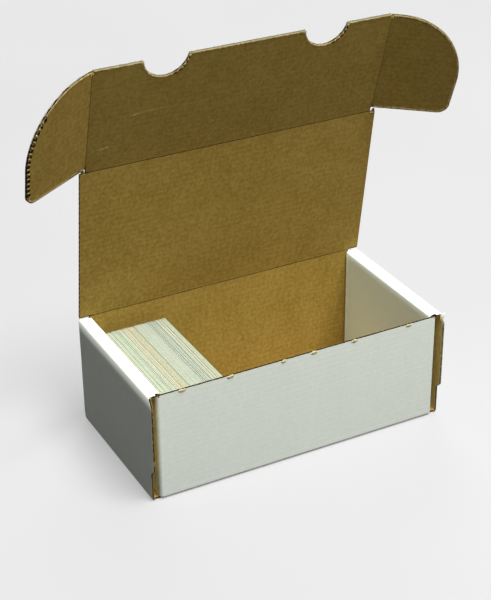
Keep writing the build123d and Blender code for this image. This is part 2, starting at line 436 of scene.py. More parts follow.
# White liner of the inner ends, paler and glowing: painted light that stands in for light bouncing inside
# the box.
WHITE_WITH_PAINTED_BOUNCE = replace(
    WHITE,
    name="white_painted_bounce",
    pale=srgb(238, 252, 250),
    deep=srgb(230, 246, 242),
    glow=0.075,
)
KRAFT = PaperFinish(
    name="kraft",
    pale=srgb(164, 138, 67),
    deep=srgb(138, 111, 44),
    cut=srgb(128, 110, 68),
    dark=srgb(42, 30, 13),
    speck=srgb(128, 102, 46),
    speck_level=0.76,
    fibre=0.22,
    washboard=0.022,
    relief=0.05 * MM,
    roughness=0.85,
    specular=0.15,
)
CRUSHED = PaperFinish(
    name="crushed",
    pale=srgb(196, 178, 124),
    deep=srgb(150, 128, 76),
    cut=srgb(196, 178, 124),
    dark=srgb(96, 72, 36),
    speck=srgb(96, 72, 36),
    speck_level=0.66,
    fibre=0.9,
    washboard=0.0,
    relief=0.12 * MM,
    roughness=0.95,
    specular=0.05,
)
# Kraft of the outer ends, paler and glowing: painted light for the light bounced into the slot beside the
# front wall.
KRAFT_WITH_PAINTED_SLOT_LIGHT = replace(KRAFT, name="slot_kraft", pale=srgb(204, 178, 106), deep=srgb(178, 150, 80), glow=0.05)
# Paler kraft of the press marks: a painted highlight for the light their ridges catch, over real pressed
# ridges.
PRESSED_WITH_PAINTED_HIGHLIGHT = replace(KRAFT, name="pressed", pale=srgb(176, 150, 78), deep=srgb(154, 128, 60))
FRESH_TEAR = replace(CRUSHED, name="fresh_tear", pale=srgb(226, 218, 172), deep=srgb(204, 192, 138))
WEATHERED = replace(CRUSHED, name="weathered", pale=srgb(150, 132, 84), deep=srgb(96, 80, 46))
# Near-black fibre: painted shade laid as patches over the open flute ends, and the colour of a real dark
# speck on the lid.
PAINTED_SHADE_AND_SPECK = replace(CRUSHED, name="shaded", pale=srgb(58, 42, 18), deep=srgb(36, 25, 10), speck=srgb(24, 16, 8))
# Painted highlights on the ends' rolled heads: a glow that stands in for light caught by the round turn.
OUTER_ROLL_HIGHLIGHT = Roll()
INNER_ROLL_HIGHLIGHT = Roll(start=65.5 * MM, strength=0.3)


# ---- Shapes and meshes ----


def arc(
    centre: tuple[float, float], radius: float, first: float, last: float, steps: int
) -> list[tuple[float, float]]:
    """Points of an arc in a plane.

    Args:
        centre: Centre of the arc.
        radius: Radius of the arc.
        first: Angle of the first point in degrees, from the plane's first axis.
        last: Angle of the last point in degrees.
        steps: Number of even steps between them.

    Returns:
        The points, in the unit of the centre and radius.
    """
    angles = [math.radians(first + (last - first) * step / steps) for step in range(steps + 1)]
    return [(centre[0] + radius * math.cos(turn), centre[1] + radius * math.sin(turn)) for turn in angles]


def add_mesh(
    name: str, points: Sequence[Vector], faces: Sequence[Sequence[int]], smooth: bool
) -> bpy.types.Object:
    """Make a mesh object in the row frame.

    Args:
        name: Name of the piece.
        points: Corners in metres.
        faces: Corner numbers of each face.
        smooth: Whether the faces are shaded smooth.

    Returns:
        The new object.
    """
    mesh = bpy.data.meshes.new(name)
    mesh.from_pydata([tuple(point) for point in points], [], [list(face) for face in faces])
    mesh.validate()
    mesh.polygons.foreach_set("use_smooth", [smooth] * len(mesh.polygons))
    mesh.update()
    made = bpy.data.objects.new(name, mesh)
    bpy.context.scene.collection.objects.link(made)
    return made


def loft(name: str, shells: Sequence[Sequence[Sequence[Vector]]]) -> bpy.types.Object:
    """Join closed rings into capped and smooth-shaded solids, all in one piece.

    Args:
        name: Name of the piece.
        shells: For each solid its rings of corners in order, all of one size.

    Returns:
        The new object.
    """
    points, faces = [], []
    for rings in shells:
        base, size = len(points), len(rings[0])
        points += [point for ring in rings for point in ring]
        for row in range(len(rings) - 1):
            near, far = base + row * size, base + (row + 1) * size
            faces += [[near + i, near + (i + 1) % size, far + (i + 1) % size, far + i] for i in range(size)]
        faces.append([base + i for i in range(size)][::-1])
        faces.append([base + (len(rings) - 1) * size + i for i in range(size)])
    made = add_mesh(name, points, faces, True)
    shell = bmesh.new()
    shell.from_mesh(made.data)
    bmesh.ops.recalc_face_normals(shell, faces=shell.faces)
    shell.to_mesh(made.data)
    shell.free()
    return made


def report(piece: bpy.types.Object, body: str) -> None:
    """Log a finished piece.

    Args:
        piece: The piece.
        body: Body that it rides on.
    """
    log.info("%s on %s, %d faces", piece.name, body, len(piece.data.polygons))


@dataclass(frozen=True)
class Panel:
    """Axes of a flat panel: along its crease, up from the crease, and out of its inner face."""

    origin: Vector
    along: Vector
    up: Vector
    face: Vector

    def at(self, along: float, up: float, height: float = 0.0) -> Vector:
        """Place in metres of a point in millimetres, whose height is over the middle of the board."""
        return self.origin + (self.along * along + self.up * up + self.face * height) * MM


def leaning_panel(origin: Vector, tilt: float) -> Panel:
    """Axes of a panel that leans forward from upright.

    Args:
        origin: Middle of its crease.
        tilt: Lean in degrees.

    Returns:
        The panel's axes.
    """
    lean = math.radians(tilt)
    up = Vector((0, -math.sin(lean), math.cos(lean)))
    return Panel(origin, ACROSS_X, up, ACROSS_X.cross(up))


class Face(Enum):
    """The two faces of the board."""

    INNER = 1
    OUTER = -1


class Side(Enum):
    """The two sides of the box, seen from its front."""

    LEFT = -1
    RIGHT = 1

    @property
    def label(self) -> str:
        """Word for the side in the names of pieces."""
        return self.name.lower()


@dataclass(frozen=True)
class BoxSizes:
    """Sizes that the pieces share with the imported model, in millimetres and degrees."""

    board: float = 1.6
    flute_pitch: float = 3.4
    hinge_y: float = 49.85
    hinge_z: float = 73.1
    lid_depth: float = 103.8
    wall_half_length: float = 92.25
    flap_height: float = 71.4
    flap_half_width: float = 95.275
    ear_axis: float = 95.825
    ear_start: float = 3.0
    ear_end: float = 70.9
    ear_length: float = 48.5
    ear_flat: float = 6.5
    notch_x: float = 51.0
    notch_radius: float = 14.09
    notch_centre: float = 72.99
    lid_tilt: float = 9.0
    flap_tilt: float = 17.0
    ear_fold: float = 25.0
    front_y: float = -50.65
    front_top: float = 71.0
    half_width: float = 99.0
    end_top: float = 72.0
    end_front: float = -52.85
    inner_x: float = 90.6
    dust_x: float = 94.25

    @property
    def skin(self) -> float:
        """Height of a panel's face over the middle of the board."""
        return self.board / 2

    def lid(self) -> Panel:
        """Axes of the lid."""
        return leaning_panel(Vector((0, self.hinge_y, self.hinge_z)) * MM, self.lid_tilt)

    def flap(self) -> Panel:
        """Axes of the front flap."""
        return leaning_panel(self.lid().at(0, self.lid_depth), self.flap_tilt)

    def ear(self, side: Side) -> Panel:
        """Axes of an ear.

        Args:
            side: Side of the box that it is on.

        Returns:
            The ear's axes.
        """
        flap = self.flap()
        fold = math.radians(self.ear_fold)
        out = flap.along * (side.value * math.cos(fold)) + flap.face * math.sin(fold)
        return Panel(flap.at(side.value * self.ear_axis, 0), out, flap.up, out.cross(flap.up) * side.value)


SIZES = BoxSizes()


# ---- Sub-assemblies, with sizes in millimetres and degrees ----


@dataclass
class Crease:
    """The two papers that run across a crease and bend round it."""

    name: str
    near_body: str
    far_body: str
    near: Vector
    near_face: Vector
    far: Vector
    far_face: Vector
    start: Vector
    end: Vector
    reach: float = 1.2
    groove: float = 0.28
    groove_half: float = 0.42
    tuck: float = 0.1
    paper: float = 0.14
    inner_lift: float = 0.015
    outer_lift: float = -0.005
    waver: float = 0.25
    waver_scale: float = 300.0
    hold: float = 0.8
    # Strength, share of the groove and blur of the painted shade: a darker line along the crease where shade
    # falls in its groove.
    shade: float = 0.55
    shade_share: float = 0.8
    shade_blur: float = 0.5
    steps: int = 60
    shares: tuple[float, ...] = (-1, -0.85, -0.6, -0.36, -0.24, -0.1, 0, 0.1, 0.24, 0.36, 0.6, 0.85, 1)

    def build(self, face: Face) -> bpy.types.Object:
        """Make one paper, with a pressed groove at the crease and painted shade along it.

        Args:
            face: Face of the board that it covers.

        Returns:
            The paper.
        """
        lift = self.inner_lift if face is Face.INNER else self.outer_lift
        rings = []
        for step in range(self.steps + 1):
            middle = self.start.lerp(self.end, step / self.steps)
            top, under = [], []
            for share in self.shares:
                direction, normal = (self.near, self.near_face) if share < 0 else (self.far, self.far_face)
                if share == 0:
                    normal = (self.near_face + self.far_face).normalized()
                off = abs(share) * self.reach
                dip = self.groove * max(0.0, 1 - (off / self.groove_half) ** 2)
                dip *= 1 + self.waver * noise.noise(middle * self.waver_scale)
                dip += self.tuck * (abs(share) == 1)
                height = SIZES.skin + lift - dip
                base = middle + direction * (off * MM)
                top.append(base + normal * (face.value * height * MM))
                under.append(base + normal * (face.value * (height - self.paper) * MM))
            rings.append(top + under[::-1])
        piece = loft(f"{self.name}_{face.name.lower()}_paper", [rings])
        finish = KRAFT if face is Face.INNER else WHITE
        middle = (self.start + self.end) / 2
        # Painted shade: the paper is darker in a thin line along the crease, where shade falls in the
        # groove.
        shade_half = self.groove_half * self.shade_share * MM
        line = Band(self.far, middle.dot(self.far), shade_half, self.shade_blur, self.shade)
        piece.data.materials.append(finish.material(piece.name, self.far, shaded=line))
        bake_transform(piece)
        report(piece, f"{self.near_body} to {self.far_body}")
        return piece


@dataclass
class PanelPiece:
    """A piece of paper or fibre that lies on one panel and moves with its body."""

    name: str
    body: str
    panel: Panel

    def settle(self, piece: bpy.types.Object, finish: PaperFinish, slot: str) -> bpy.types.Object:
        """Give the made piece its paper and its body.

        Args:
            piece: The piece.
            finish: Its paper.
            slot: Not used.

        Returns:
            The same piece.
        """
        piece.data.materials.append(finish.material(piece.name, self.panel.up))
        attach(piece, self.body)
        report(piece, self.body)
        return piece


@dataclass
class CutRim(PanelPiece):
    """Fibre crushed over the cut edge of a panel's inner face."""

    outline: Sequence[tuple[float, float]]
    width: float = 1.5
    unevenness: float = 0.35
    waver_scale: float = 0.45
    end_share: float = 0.3
    seed: int = 1
    spacing: float = 0.8

    def spread(self) -> list[tuple[float, float, float, float]]:
        """Divide the outline, which has the board on its left, into even steps.

        Returns:
            Place and outward direction of each step: along, up, and the two parts of the direction.
        """
        places = []
        for (a, b), (c, d) in zip(self.outline, self.outline[1:]):
            length = math.hypot(c - a, d - b)
            count = max(1, round(length / self.spacing))
            for step in range(count):
                share = step / count
                places.append((a + (c - a) * share, b + (d - b) * share, (d - b) / length, (a - c) / length))
        last = places[-1]
        places.append((*self.outline[-1], last[2], last[3]))
        return places

    def build(self) -> bpy.types.Object:
        """Make the rim along its outline, narrower and wider where the knife crushed the board.

        Returns:
            The rim.
        """
        random_widths = random.Random(self.seed)
        rings = []
        places = self.spread()
        for number, (along, up, out_a, out_u) in enumerate(places):
            waver = noise.noise(Vector((along, up, self.seed)) * self.waver_scale)
            fray = self.width * (1 + self.unevenness * waver) * random_widths.uniform(0.85, 1.15)
            if number in (0, len(places) - 1):
                fray *= self.end_share
            # Each corner's inset from the cut edge and its height over the middle of the board.
            section = (
                (fray, SIZES.skin - 0.04),
                (fray * 0.75, SIZES.skin + 0.05),
                (fray * 0.4, SIZES.skin + 0.08),
                (0.08, SIZES.skin + 0.01),
                (-0.04, SIZES.skin - 0.26 * random_widths.uniform(0.7, 1.0)),
                (0.16, SIZES.skin - 0.2),
                (fray * 0.5, SIZES.skin - 0.12),
            )
            rings.append([
                self.panel.at(along - out_a * inset, up - out_u * inset, height)
                for inset, height in section
            ])
        return self.settle(loft(f"{self.name}_rim", [rings]), CRUSHED, "kraft_board")


@dataclass(frozen=True)
class Patch:
    """Place and size of one torn bit of paper on a panel, in millimetres and degrees."""

    along: float
    up: float
    length: float
    width: float
    turn: float
    lift: float


@dataclass
class TornPaper(PanelPiece):
    """Ragged patches on one panel that stand a little off the board: torn bits of paper and specks, and dark
    patches of painted shade over open flutes.
    """

    patches: Sequence[Patch]
    finish: PaperFinish = CRUSHED
    slot: str = "kraft_board"
    raggedness: float = 0.4
    swirl: float = 2.0
    foot_share: float = 0.9
    foot_height: float = -0.08
    layers: tuple[tuple[float, float], ...] = ((1.0, 0.3), (0.8, 0.85), (0.35, 1.0))
    corners: int = 18

    def ring(self, patch: Patch, share: float, height: float) -> list[Vector]:
        """Ragged outline of one bit at a height.

        Args:
            patch: The bit.
            share: Share of its full size.
            height: Height over the board's face, in millimetres.

        Returns:
            Corners in metres.
        """
        turn = math.radians(patch.turn)
        points = []
        for number in range(self.corners):
            angle = 2 * math.pi * number / self.corners
            seat = Vector(
                (patch.along + self.swirl * math.cos(angle), patch.up, self.swirl * math.sin(angle))
            )
            ragged = 1 + self.raggedness * noise.noise(seat)
            long = patch.length / 2 * share * ragged * math.cos(angle)
            wide = patch.width / 2 * share * ragged * math.sin(angle)
            along = patch.along + long * math.cos(turn) - wide * math.sin(turn)
            up = patch.up + long * math.sin(turn) + wide * math.cos(turn)
            points.append(self.panel.at(along, up, SIZES.skin + height))
        return points

    def build(self) -> bpy.types.Object:
        """Make the bits in one piece, each from a foot in the board and layers of a share and a rise.

        Returns:
            The bits.
        """
        shells = [
            [
                self.ring(patch, self.foot_share, self.foot_height),
                *(self.ring(patch, share, patch.lift * rise) for share, rise in self.layers),
            ]
            for patch in self.patches
        ]
        return self.settle(loft(self.name, shells), self.finish, self.slot)


@dataclass
class PressMarks(PanelPiece):
    """Thin ridges in a panel's paper, left by pressing or by an edge that shows through."""

    lines: Sequence[Sequence[tuple[float, float]]]
    width: float = 0.5
    lift: float = 0.03
    # By default the flap's paler kraft, whose paleness is a painted highlight on the ridges.
    finish: PaperFinish = PRESSED_WITH_PAINTED_HIGHLIGHT
    slot: str = "kraft_board"
    sink: float = -0.03
    root: float = -0.1
    unevenness: float = 0.6
    waver_scale: float = 0.3
    end_share: float = 0.3
    divisions: int = 10

    def path(self, line: Sequence[tuple[float, float]]) -> list[Vector]:
        """Smooth curve through the points of a mark.

        Args:
            line: Points along and up the panel, in millimetres.

        Returns:
            Points of the curve, along and up the panel.
        """
        ends = [Vector(point) for point in (line[0], *line, line[-1])]
        curve = []
        for before, first, second, after in zip(ends, ends[1:], ends[2:], ends[3:]):
            for step in range(self.divisions):
                t = step / self.divisions
                bend = (2 * before - 5 * first + 4 * second - after) * t**2
                twist = (3 * first - before - 3 * second + after) * t**3
                curve.append((2 * first + (second - before) * t + bend + twist) / 2)
        return curve + [ends[-1]]

    def build(self) -> bpy.types.Object:
        """Make the ridges in one piece, thinner and thicker along their way.

        Returns:
            The ridges.
        """
        shells = []
        for line in self.lines:
            curve = self.path(line)
            rings = []
            for number, point in enumerate(curve):
                way = (curve[min(number + 1, len(curve) - 1)] - curve[max(number - 1, 0)]).normalized()
                waver = noise.noise(Vector((point.x, point.y, 0)) * self.waver_scale)
                half = self.width / 2 * (1 + self.unevenness * waver)
                half *= self.end_share if number in (0, len(curve) - 1) else 1.0
                # Each corner's distance from the ridge's middle and its height over the panel's face.
                section = (
                    (-half, self.sink),
                    (-half / 2, self.lift),
                    (half / 2, self.lift),
                    (half, self.sink),
                    (0, self.root),
                )
                rings.append([
                    self.panel.at(point.x - way.y * off, point.y + way.x * off, SIZES.skin + height)
                    for off, height in section
                ])
            shells.append(rings)
        return self.settle(loft(self.name, shells), self.finish, self.slot)


@dataclass
class Board:
    """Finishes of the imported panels, which keep their own shapes."""

    nodes: dict[str, bpy.types.Object] = field(default_factory=lambda: frame["nodes"])
    # Half depth of the painted dark middle of the board, wider on the front wall over its open channel:
    # painted shade and the fluted paper's own colour.
    core_half: float = 0.55 * MM
    front_core: float = 1.25

    def dress(
        self,
        name: str,
        across: Vector,
        cuts: Sequence[Vector],
        through: Vector,
        middle: float,
        roll: Roll | None = None,
    ) -> None:
        """Give a panel its white liner and its brown board, with its fluted middle painted near black: the
        fluted paper's own darker colour and painted shade in its hollows.

        Args:
            name: Name of the panel, without its layer.
            across: Direction across its flutes.
            cuts: Directions that its cut edges face.
            through: Direction through the board.
            middle: Place of the board's middle along that direction, in metres.
            roll: Painted highlight where its paper turns over a rolled end.
        """
        core = Band(through, middle, self.core_half * (self.front_core if name == "front_wall" else 1.0))
        # The inner ends' liner and the outer ends' board are paler and glow: painted light for light bounced
        # inside the box and into the slots.
        liner = WHITE_WITH_PAINTED_BOUNCE if name.endswith("end_inner") else WHITE
        board = KRAFT_WITH_PAINTED_SLOT_LIGHT if name.endswith("end_outer") else KRAFT
        for layer, finish in (("liner", liner), ("board", board)):
            node = self.nodes[f"{name}_{layer}"]
            # The board gets the painted dark middle; the liner gets the painted highlight of its rolled
            # head.
            shaded, turned = (core, None) if layer == "board" else (None, roll)
            node.data.materials.clear()
            node.data.materials.append(finish.material(node.name, across, cuts, shaded, turned))
            log.info("%s dressed", node.name)

    def dress_panel(self, name: str, panel: Panel, cuts: Sequence[Vector]) -> None:
        """Give a panel that swings its finishes."""
        self.dress(name, panel.up, cuts, panel.face, panel.origin.dot(panel.face))

    def dress_all(self) -> None:
        """Give every panel of the box its finishes."""
        lid, flap = SIZES.lid(), SIZES.flap()
        half = SIZES.skin
        wall_y = (SIZES.front_y + half) * MM
        self.dress("bottom", ACROSS_Y, [ACROSS_X], ACROSS_Z, half * MM)
        for wall, place in (("front_wall", wall_y), ("rear_wall", -wall_y)):
            self.dress(wall, ACROSS_Z, [ACROSS_Z], ACROSS_Y, place)
        for side in Side:
            outer = side.value * (SIZES.half_width - half) * MM
            inner = side.value * (SIZES.inner_x + half) * MM
            dust = side.value * (SIZES.dust_x - half) * MM
            top = (SIZES.end_top - half) * MM
            # The end liners get the painted highlight of their rolled heads.
            self.dress(f"{side.label}_end_outer", ACROSS_Y, [ACROSS_Y], ACROSS_X, outer, OUTER_ROLL_HIGHLIGHT)
            self.dress(f"{side.label}_end_inner", ACROSS_Y, [ACROSS_Y], ACROSS_X, inner, INNER_ROLL_HIGHLIGHT)
            self.dress(f"{side.label}_end_top", ACROSS_Y, [ACROSS_Y], ACROSS_Z, top)
            for part in ("front_dust_flap", "rear_dust_flap"):
                self.dress(f"{side.label}_{part}", ACROSS_Z, [ACROSS_Z], ACROSS_X, dust)
            ear = SIZES.ear(side)
            self.dress_panel(f"{side.label}_ear", ear, [ear.along, ear.up])
        self.dress_panel("lid", lid, [lid.along])
        self.dress_panel("flap", flap, [flap.along, flap.up])


@dataclass
class FrontFlap:
    """The front flap: crushed fibre round its free edge and notches, painted shade in the open flutes with
    torn tips between, marks and scuffs.
    """

    press_marks: tuple[tuple[tuple[float, float], ...], ...] = (
        ((-89.5, 14.9), (-80.4, 16.3), (-74.2, 31.3), (-69.6, 35.1), (-63.5, 35.8), (-44.4, 37.0)),
        ((65.4, 38.4), (72.6, 30.3), (77.9, 21.7), (87.6, 12.7), (94.2, 5.0)),
    )
    scuffs: tuple[Patch, ...] = (
        Patch(-85.6, 15.4, 6.5, 0.55, 8, 0.06),
        Patch(-67.6, 35.3, 5.0, 0.6, 14, 0.07),
        Patch(-91.5, 14.4, 2.4, 0.5, 3, 0.05),
    )
    arc_steps: int = 28
    open_from: float = 24.0
    open_to: float = 80.0
    open_step: float = 12.0
    gap_inset: float = 0.7
    gap_lift: float = 0.18
    tip_inset: float = 0.5
    tip_lift: float = 0.28
    end_room: float = 0.45
    rim_seed: int = 3
    flute_seed: int = 31

    def notch_flutes(self) -> tuple[list[Patch], list[Patch]]:
        """Dark patches of painted shade over the open flutes at the right side of each notch, with pale torn
        tips between them.

        Returns:
            The dark gaps of painted shade and the pale tips between them.
        """
        draw = random.Random(self.flute_seed)
        gaps, tips = [], []
        for middle in (SIZES.notch_x, -SIZES.notch_x):
            angle = self.open_from
            while angle < self.open_to:
                for turn, bits, inset, lift in (
                    (angle, gaps, self.gap_inset, self.gap_lift),
                    (angle + self.open_step / 2, tips, self.tip_inset, self.tip_lift),
                ):
                    reach = SIZES.notch_radius + inset
                    along = middle + reach * math.sin(math.radians(turn))
                    up = SIZES.notch_centre - reach * math.cos(math.radians(turn))
                    size = draw.uniform(1.4, 1.9), draw.uniform(0.9, 1.4)
                    bits.append(Patch(along, up, *size, turn, lift))
                angle += self.open_step * draw.uniform(0.85, 1.15)
        return gaps, tips

    def free_edge(self) -> list[tuple[float, float]]:
        """Outline of the free edge with its two notches, from the right to the left.

        Returns:
            Points along and up the flap, in millimetres.
        """
        top, end = SIZES.flap_height, SIZES.flap_half_width - self.end_room
        lip = math.degrees(math.acos((SIZES.notch_centre - top) / SIZES.notch_radius))
        points = [(end, top)]
        for middle in (SIZES.notch_x, -SIZES.notch_x):
            centre = (middle, SIZES.notch_centre)
            points += arc(centre, SIZES.notch_radius, lip - 90, -lip - 90, self.arc_steps)
        return points + [(-end, top)]

    def build(self) -> None:
        """Make the rim, the marks, the scuffs, the painted shade of the open flutes and their torn tips."""
        panel = SIZES.flap()
        CutRim("flap_free_edge", "flap", panel, self.free_edge(), seed=self.rim_seed).build()
        PressMarks("flap_press_marks", "flap", panel, self.press_marks).build()
        TornPaper("flap_scuffs", "flap", panel, self.scuffs).build()
        gaps, tips = self.notch_flutes()
        # Painted shade: dark patches over the open flutes stand in for the shade in their hollows.
        TornPaper("notch_open_flutes", "flap", panel, gaps, PAINTED_SHADE_AND_SPECK).build()
        TornPaper("notch_flute_tips", "flap", panel, tips).build()


@dataclass
class Ear:
    """An ear beside the flap: crushed fibre round its free edges, torn paper and painted flute shade on the
    left one.
    """

    side: Side
    corner: float = 7.0
    taper: float = 1.0
    crease_room: float = 1.0
    torn_low: float = 11.0
    torn_high: float = 61.0
    gap_lift: float = 0.2
    tip_inset: float = 0.9
    tip_turn: float = 25.0
    tip_lift: float = 0.32
    torn_foot: tuple[Patch, ...] = (
        Patch(8.4, 3.9, 13.0, 1.6, 2, 0.1),
        Patch(5.2, 3.8, 6.0, 1.1, 6, 0.3),
        Patch(12.0, 4.1, 4.0, 0.7, -3, 0.2),
    )
    arc_steps: int = 24
    corner_steps: int = 8
    rim_seed: int = 11
    flute_seed: int = 23

    @property
    def name(self) -> str:
        """Name of the ear and of its body."""
        return f"{self.side.label}_ear"

    def outline(self) -> list[tuple[float, float]]:
        """Free edges from the crease's low end, round the heel and the large corner, to its high end.

        Returns:
            Points out and up the ear, in millimetres.
        """
        radius = SIZES.ear_length - SIZES.ear_flat
        round_centre = (SIZES.ear_flat, SIZES.ear_end - radius)
        heel_centre = (SIZES.ear_length - self.taper - self.corner, SIZES.ear_start + self.corner)
        points = [(self.crease_room, SIZES.ear_end)]
        points += arc(round_centre, radius, 90, 0, self.arc_steps)
        points += arc(heel_centre, self.corner, 0, -90, self.corner_steps)
        points.append((self.crease_room, SIZES.ear_start))
        return points[::-1]

    def flute_ends(self) -> list[tuple[float, float, float]]:
        """Places where the inner paper is torn back over the open ends of the flutes.

        Returns:
            Points out and up the ear, in millimetres, and the edge's direction there in degrees.
        """
        radius = SIZES.ear_length - SIZES.ear_flat
        centre_up = SIZES.ear_end - radius
        places = []
        up = self.torn_low
        while up < self.torn_high:
            rise = max(0.0, up - centre_up) / radius
            run = math.sqrt(1 - rise**2)
            narrowing = self.taper * max(0.0, (centre_up - up) / centre_up)
            out = SIZES.ear_flat + radius * run - narrowing
            places.append((out, up, 90 + math.degrees(math.asin(rise))))
            up += SIZES.flute_pitch * run**0.25
        return places

    def build(self) -> None:
        """Make the rim, and on the left ear the torn paper and the painted flute shade."""
        panel = SIZES.ear(self.side)
        CutRim(self.name, self.name, panel, self.outline(), seed=self.rim_seed + self.side.value).build()
        if self.side is Side.LEFT:
            self.build_torn_paper(panel)

    def build_torn_paper(self, panel: Panel) -> None:
        """Make the dark gaps of painted shade in the open flutes, their pale torn tips, and the torn foot.

        Args:
            panel: The ear's axes.
        """
        draw = random.Random(self.flute_seed)
        rise = SIZES.flute_pitch / 2
        gaps, tips = [], []
        for out, up, turn in self.flute_ends():
            inward = math.radians(turn - 90)
            part_out, part_up = math.cos(inward), math.sin(inward)
            inset = draw.uniform(1.0, 1.5)
            place = (out - inset * part_out, up - inset * part_up)
            size = draw.uniform(1.9, 2.6), draw.uniform(2.2, 3.0)
            gaps.append(Patch(*place, *size, turn, self.gap_lift))
            place = (out - self.tip_inset * part_out - rise * part_up, up + rise * part_out)
            size = draw.uniform(0.9, 1.4), draw.uniform(1.8, 2.6)
            tips.append(Patch(*place, *size, turn + self.tip_turn, self.tip_lift))
        # Painted shade: dark patches over the open flutes stand in for the shade in their hollows.
        TornPaper(f"{self.name}_open_flutes", self.name, panel, gaps, PAINTED_SHADE_AND_SPECK).build()
        TornPaper(f"{self.name}_flute_tips", self.name, panel, tips).build()
        TornPaper(f"{self.name}_torn_foot", self.name, panel, self.torn_foot, WEATHERED).build()


@dataclass
class TornBits:
    """Small tears of the tray and the lid: along the front wall's top, at its corners and on the lid."""

    wall_nicks: tuple[float, ...] = (-78.2, -47.4, -12.3, 8.0, 35.9, 74.5)
    nick_drop: float = 0.45
    nick_lift: float = 0.3
    corner_rags: tuple[float, ...] = (63.5, 59.5, 54.0, 47.0, 42.5, 34.0, 27.5)
    rag_lift: float = 0.24
    edge_embed: float = 0.25
    shoulder_embed: float = 0.3
    white_curl: Patch = Patch(99.0, 69.6, 2.2, 5.0, -14, 0.45)
    kraft_curl: Patch = Patch(97.9, 68.2, 1.9, 5.0, 4, 0.7)
    rear_edge: tuple[tuple[float, float], ...] = ((48.1, 2.2), (48.15, 30.0), (48.1, 69.0))
    rear_edge_width: float = 1.6
    rear_edge_lift: float = 0.35
    lid_tear: Patch = Patch(96.4, 102.4, 2.6, 1.2, 12, 0.25)
    lid_speck: Patch = Patch(-1.2, 55.4, 0.7, 0.8, 0, 0.03)
    lid_curls: tuple[Patch, ...] = (
        Patch(-97.2, 104.6, 2.4, 2.4, 10, 0.15),
        Patch(97.3, 104.5, 2.2, 2.0, -10, 0.15),
    )
    seed: int = 5

    def facing_front(self, y: float) -> Panel:
        """Axes of an upright face at y, in millimetres, that looks forward like a panel's inner face."""
        return Panel(Vector((0, y + SIZES.skin, 0)) * MM, ACROSS_X, ACROSS_Z, -ACROSS_Y)

    def build(self) -> None:
        """Make the tears of the front wall and the ends, then those of the lid."""
        draw = random.Random(self.seed)
        self.build_nicks(draw)
        self.build_rags(draw)
        shoulder = self.facing_front(SIZES.front_y + self.shoulder_embed)
        TornPaper(
            "right_end_white_curl", "tray", shoulder, [self.white_curl], WHITE, "white_liner"
        ).build()
        TornPaper("right_end_kraft_curl", "tray", shoulder, [self.kraft_curl]).build()
        self.build_rear_edge()
        lid = SIZES.lid()
        TornPaper("lid_corner_tear", "lid", lid, [self.lid_tear]).build()
        TornPaper("lid_speck", "lid", lid, [self.lid_speck], PAINTED_SHADE_AND_SPECK).build()
        TornPaper("lid_corner_curls", "lid", lid, self.lid_curls, WEATHERED).build()

    def build_nicks(self, draw: random.Random) -> None:
        """Make the pale nicks along the front wall's top.

        Args:
            draw: Source of the nicks' sizes and turns.
        """
        top = SIZES.front_top - self.nick_drop
        nicks = []
        for x in self.wall_nicks:
            size = draw.uniform(3.4, 5.0), draw.uniform(1.8, 2.2)
            nicks.append(Patch(x, top, *size, draw.uniform(-5, 5), self.nick_lift))
        TornPaper("front_wall_nicks", "tray", self.facing_front(SIZES.front_y), nicks, FRESH_TEAR).build()

    def build_rags(self, draw: random.Random) -> None:
        """Make the ragged bits on the front edges of both ends.

        Args:
            draw: Source of the bits' places and sizes.
        """
        edge = self.facing_front(SIZES.end_front + self.edge_embed)
        middle = SIZES.half_width - SIZES.skin
        for side in Side:
            rags = []
            for z in self.corner_rags:
                x = side.value * (middle + draw.uniform(-0.3, 0.3))
                size = draw.uniform(0.6, 1.1), draw.uniform(1.5, 4.5)
                rags.append(Patch(x, z, *size, 0, self.rag_lift))
            TornPaper(f"{side.label}_end_rags", "tray", edge, rags, WEATHERED).build()

    def build_rear_edge(self) -> None:
        """Make the light ridge at the rear edge of the right inner end panel."""
        inside = Panel(Vector((SIZES.inner_x + SIZES.skin, 0, 0)) * MM, ACROSS_Y, ACROSS_Z, -ACROSS_X)
        PressMarks(
            name="right_end_rear_edge",
            body="tray",
            panel=inside,
            lines=[self.rear_edge],
            width=self.rear_edge_width,
            lift=self.rear_edge_lift,
            finish=WHITE,
            slot="white_liner",
        ).build()


